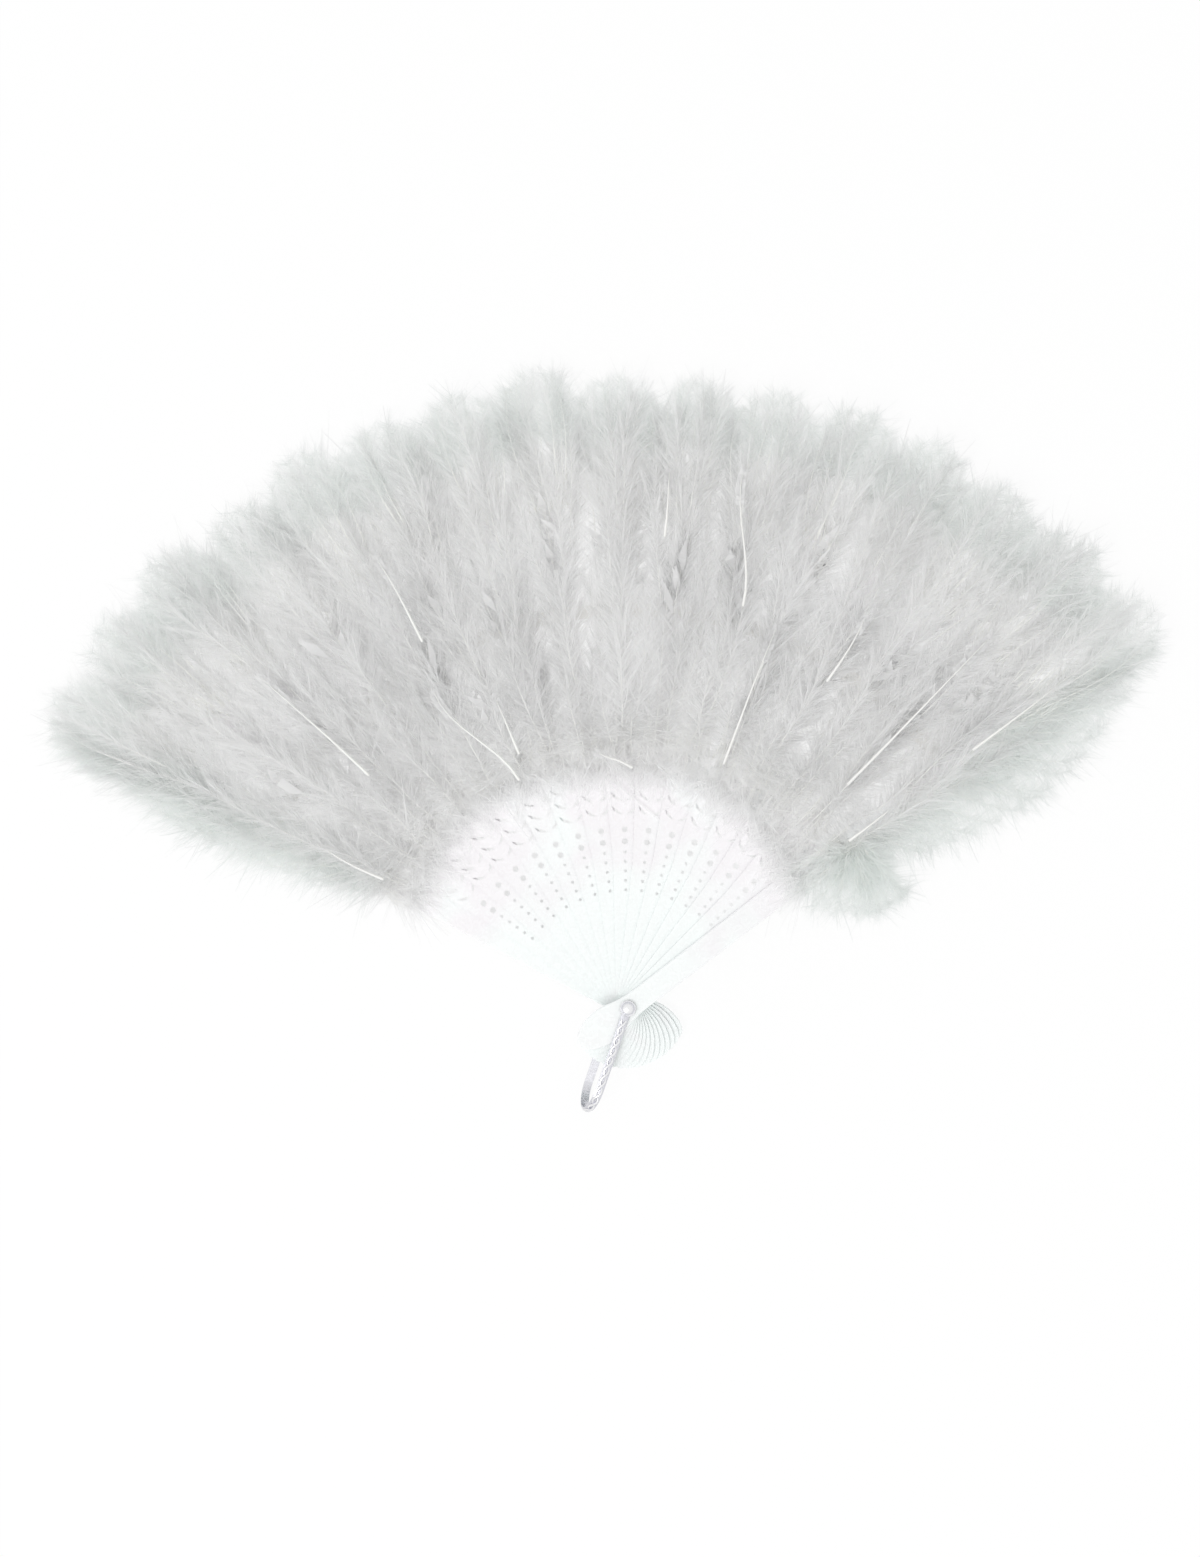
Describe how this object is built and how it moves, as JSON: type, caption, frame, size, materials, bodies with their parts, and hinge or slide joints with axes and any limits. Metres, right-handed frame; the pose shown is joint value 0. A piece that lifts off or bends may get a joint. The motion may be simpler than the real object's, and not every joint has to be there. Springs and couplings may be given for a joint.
{
  "type": "folding feather fan",
  "caption": "Open folding fan of white down on pierced pearl-white plastic sticks, joined by one rivet with a silver hanging bail; it folds flat into a single wand.",
  "frame": {"origin": "on the rivet's axis, on the flat face of the rivet's rear head, in the plane that the open fan lies on", "axes": "+Z along the rivet to the fan's front, +Y along the open fan's centre line away from the rivet, +X to the right seen from the front"},
  "size_m": [0.4671, 0.3045, 0.027],
  "materials": {
    "pearl_plastic": "pearlescent moulded polystyrene",
    "marabou_down": "fluffy white down",
    "plated_metal": "nickel-plated, polished",
    "satin_ribbon": "satin weave"
  },
  "bodies": {
    "rear_guard": {"rear_guard": "pearl_plastic", "plume_rear_guard": "marabou_down", "rivet_pin": "plated_metal", "rivet_cap": "plated_metal"},
    "stick_01": {"stick_01": "pearl_plastic", "plume_stick_01": "marabou_down", "ribbon_01": "satin_ribbon"},
    "stick_02": {"stick_02": "pearl_plastic", "plume_stick_02": "marabou_down", "ribbon_02": "satin_ribbon"},
    "stick_03": {"stick_03": "pearl_plastic", "plume_stick_03": "marabou_down", "ribbon_03": "satin_ribbon"},
    "stick_04": {"stick_04": "pearl_plastic", "plume_stick_04": "marabou_down", "ribbon_04": "satin_ribbon"},
    "stick_05": {"stick_05": "pearl_plastic", "plume_stick_05": "marabou_down", "ribbon_05": "satin_ribbon"},
    "stick_06": {"stick_06": "pearl_plastic", "plume_stick_06": "marabou_down", "ribbon_06": "satin_ribbon"},
    "stick_07": {"stick_07": "pearl_plastic", "plume_stick_07": "marabou_down", "ribbon_07": "satin_ribbon"},
    "stick_08": {"stick_08": "pearl_plastic", "plume_stick_08": "marabou_down", "ribbon_08": "satin_ribbon"},
    "stick_09": {"stick_09": "pearl_plastic", "plume_stick_09": "marabou_down", "ribbon_09": "satin_ribbon"},
    "stick_10": {"stick_10": "pearl_plastic", "plume_stick_10": "marabou_down", "ribbon_10": "satin_ribbon"},
    "stick_11": {"stick_11": "pearl_plastic", "plume_stick_11": "marabou_down", "ribbon_11": "satin_ribbon"},
    "stick_12": {"stick_12": "pearl_plastic", "plume_stick_12": "marabou_down", "ribbon_12": "satin_ribbon"},
    "stick_13": {"stick_13": "pearl_plastic", "plume_stick_13": "marabou_down", "ribbon_13": "satin_ribbon"},
    "stick_14": {"stick_14": "pearl_plastic", "plume_stick_14": "marabou_down", "ribbon_14": "satin_ribbon"},
    "front_guard": {"front_guard": "pearl_plastic", "plume_front_guard": "marabou_down", "ribbon_15": "satin_ribbon"},
    "bail": {"bail": "plated_metal"}
  },
  "joints": [
    {"name": "fold", "type": "hinge", "parent": "rear_guard", "child": "front_guard", "pos_m": [0, 0, 0], "axis": [0, 0, 1], "range_deg": [0, 114.75], "deforming": ["plume_rear_guard", "plume_stick_01", "ribbon_01", "plume_stick_02", "ribbon_02", "plume_stick_03", "ribbon_03", "plume_stick_04", "ribbon_04", "plume_stick_05", "ribbon_05", "plume_stick_06", "ribbon_06", "plume_stick_07", "ribbon_07", "plume_stick_08", "ribbon_08", "plume_stick_09", "ribbon_09", "plume_stick_10", "ribbon_10", "plume_stick_11", "ribbon_11", "plume_stick_12", "ribbon_12", "plume_stick_13", "ribbon_13", "plume_stick_14", "ribbon_14", "plume_front_guard", "ribbon_15"]},
    {"name": "stick_01_turn", "type": "hinge", "parent": "rear_guard", "child": "stick_01", "pos_m": [0, 0, 0], "axis": [0, 0, 1], "range_deg": [0, 7.7]},
    {"name": "stick_02_turn", "type": "hinge", "parent": "rear_guard", "child": "stick_02", "pos_m": [0, 0, 0], "axis": [0, 0, 1], "range_deg": [0, 15.35]},
    {"name": "stick_03_turn", "type": "hinge", "parent": "rear_guard", "child": "stick_03", "pos_m": [0, 0, 0], "axis": [0, 0, 1], "range_deg": [0, 23]},
    {"name": "stick_04_turn", "type": "hinge", "parent": "rear_guard", "child": "stick_04", "pos_m": [0, 0, 0], "axis": [0, 0, 1], "range_deg": [0, 30.65]},
    {"name": "stick_05_turn", "type": "hinge", "parent": "rear_guard", "child": "stick_05", "pos_m": [0, 0, 0], "axis": [0, 0, 1], "range_deg": [0, 38.3]},
    {"name": "stick_06_turn", "type": "hinge", "parent": "rear_guard", "child": "stick_06", "pos_m": [0, 0, 0], "axis": [0, 0, 1], "range_deg": [0, 45.95]},
    {"name": "stick_07_turn", "type": "hinge", "parent": "rear_guard", "child": "stick_07", "pos_m": [0, 0, 0], "axis": [0, 0, 1], "range_deg": [0, 53.6]},
    {"name": "stick_08_turn", "type": "hinge", "parent": "rear_guard", "child": "stick_08", "pos_m": [0, 0, 0], "axis": [0, 0, 1], "range_deg": [0, 61.25]},
    {"name": "stick_09_turn", "type": "hinge", "parent": "rear_guard", "child": "stick_09", "pos_m": [0, 0, 0], "axis": [0, 0, 1], "range_deg": [0, 68.9]},
    {"name": "stick_10_turn", "type": "hinge", "parent": "rear_guard", "child": "stick_10", "pos_m": [0, 0, 0], "axis": [0, 0, 1], "range_deg": [0, 76.55]},
    {"name": "stick_11_turn", "type": "hinge", "parent": "rear_guard", "child": "stick_11", "pos_m": [0, 0, 0], "axis": [0, 0, 1], "range_deg": [0, 84.2]},
    {"name": "stick_12_turn", "type": "hinge", "parent": "rear_guard", "child": "stick_12", "pos_m": [0, 0, 0], "axis": [0, 0, 1], "range_deg": [0, 91.85]},
    {"name": "stick_13_turn", "type": "hinge", "parent": "rear_guard", "child": "stick_13", "pos_m": [0, 0, 0], "axis": [0, 0, 1], "range_deg": [0, 99.5]},
    {"name": "stick_14_turn", "type": "hinge", "parent": "rear_guard", "child": "stick_14", "pos_m": [0, 0, 0], "axis": [0, 0, 1], "range_deg": [0, 107.15]},
    {"name": "bail_swing", "type": "hinge", "parent": "rear_guard", "child": "bail", "pos_m": [0, 0, 0], "axis": [0, 0, 1], "range_deg": [-70, 120]}
  ],
  "couplings": [
    {"joint": "stick_01_turn", "follows": "fold", "ratio": 0.066667},
    {"joint": "stick_02_turn", "follows": "fold", "ratio": 0.13333},
    {"joint": "stick_03_turn", "follows": "fold", "ratio": 0.2},
    {"joint": "stick_04_turn", "follows": "fold", "ratio": 0.26667},
    {"joint": "stick_05_turn", "follows": "fold", "ratio": 0.33333},
    {"joint": "stick_06_turn", "follows": "fold", "ratio": 0.4},
    {"joint": "stick_07_turn", "follows": "fold", "ratio": 0.46667},
    {"joint": "stick_08_turn", "follows": "fold", "ratio": 0.53333},
    {"joint": "stick_09_turn", "follows": "fold", "ratio": 0.6},
    {"joint": "stick_10_turn", "follows": "fold", "ratio": 0.66667},
    {"joint": "stick_11_turn", "follows": "fold", "ratio": 0.73333},
    {"joint": "stick_12_turn", "follows": "fold", "ratio": 0.8},
    {"joint": "stick_13_turn", "follows": "fold", "ratio": 0.86667},
    {"joint": "stick_14_turn", "follows": "fold", "ratio": 0.93333}
  ]
}
